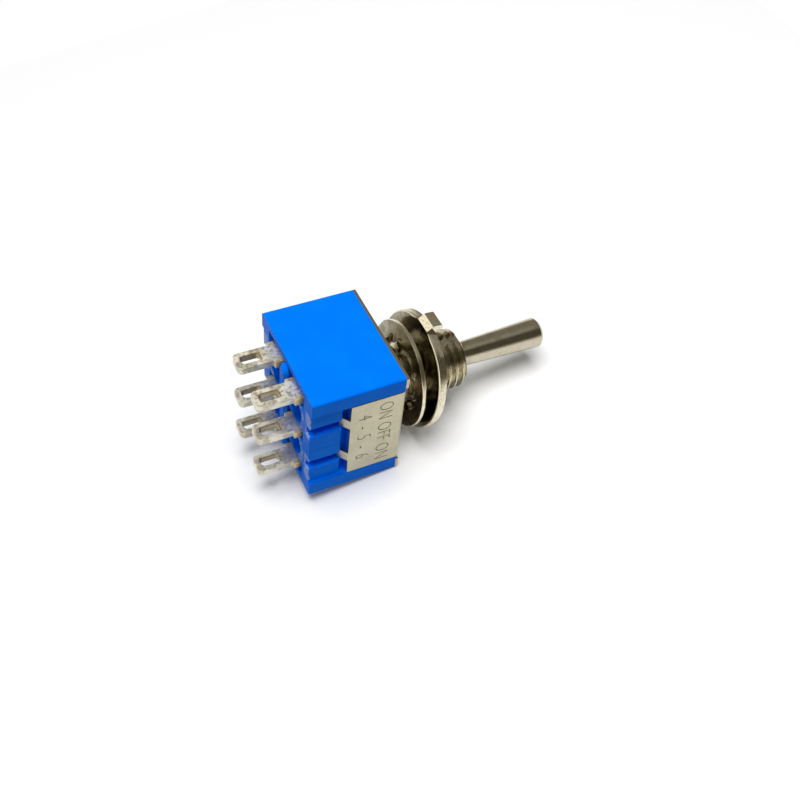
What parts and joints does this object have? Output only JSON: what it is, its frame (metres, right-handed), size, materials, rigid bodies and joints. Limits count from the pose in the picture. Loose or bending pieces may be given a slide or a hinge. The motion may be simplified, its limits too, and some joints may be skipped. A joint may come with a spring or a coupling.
{
  "type": "miniature toggle switch",
  "caption": "Miniature two-pole panel toggle switch with a centred bat lever, threaded bushing, loose washers, moulded housing under a folded metal frame, and slotted solder lugs.",
  "frame": {"origin": "centre of the bushing in the outer face of the frame plate, the plane that seats behind a panel", "axes": "+X along the bushing towards the lever's tip; +Y from the near pole to the far pole; +Z the way the lever is thrown, with the keyway along the top of the thread; the switch lies on its -Z end"},
  "size_m": [0.0317, 0.0122, 0.0132],
  "materials": {
    "housing_plastic": "bright blue moulded plastic, semi-gloss",
    "frame_nickel": "satin nickel plate on folded steel",
    "bushing_nickel": "bright nickel plate on turned brass",
    "lever_nickel": "bright nickel plate on turned brass",
    "washer_nickel": "bright nickel plate on stamped steel",
    "terminal_tin": "tinned brass",
    "actuator_plastic": "natural nylon",
    "plunger_brass": "turned brass",
    "rocker_brass": "silver-plated brass strip",
    "contact_silver": "fine silver",
    "spring_steel": "spring steel wire"
  },
  "bodies": {
    "body": {"housing": "housing_plastic", "frame_bracket": "frame_nickel", "bushing": "bushing_nickel", "lock_washer": "washer_nickel", "locating_washer": "washer_nickel", "terminal_near_lower": "terminal_tin", "terminal_near_middle": "terminal_tin", "terminal_near_upper": "terminal_tin", "terminal_far_lower": "terminal_tin", "terminal_far_middle": "terminal_tin", "terminal_far_upper": "terminal_tin", "fixed_contacts_near": "contact_silver", "fixed_contacts_far": "contact_silver"},
    "lever": {"lever": "lever_nickel", "actuator": "actuator_plastic", "spring_near": "spring_steel", "spring_far": "spring_steel"},
    "plunger_near": {"plunger_near": "plunger_brass"},
    "plunger_far": {"plunger_far": "plunger_brass"},
    "rocker_near": {"rocker_near": "rocker_brass", "moving_contacts_near": "contact_silver"},
    "rocker_far": {"rocker_far": "rocker_brass", "moving_contacts_far": "contact_silver"}
  },
  "joints": [
    {"name": "lever_throw", "type": "hinge", "parent": "body", "child": "lever", "pos_m": [0.0045, 0, 0], "axis": [0, 1, 0], "range_deg": [-12, 12]},
    {"name": "plunger_near_slide", "type": "slide", "parent": "lever", "child": "plunger_near", "axis": [1, 0, 0], "range_m": [0, 0.00035], "stiffness_N_per_m": 500, "deforming": ["spring_near"]},
    {"name": "plunger_far_slide", "type": "slide", "parent": "lever", "child": "plunger_far", "axis": [1, 0, 0], "range_m": [0, 0.00035], "stiffness_N_per_m": 500, "deforming": ["spring_far"]},
    {"name": "rocker_near_tilt", "type": "hinge", "parent": "body", "child": "rocker_near", "pos_m": [-0.00666, -0.0024, 0], "axis": [0, 1, 0], "range_deg": [-6, 6]},
    {"name": "rocker_far_tilt", "type": "hinge", "parent": "body", "child": "rocker_far", "pos_m": [-0.00666, 0.0024, 0], "axis": [0, 1, 0], "range_deg": [-6, 6]}
  ],
  "couplings": [
    {"joint": "rocker_near_tilt", "follows": "lever_throw", "ratio": -0.5},
    {"joint": "rocker_far_tilt", "follows": "lever_throw", "ratio": -0.5}
  ]
}
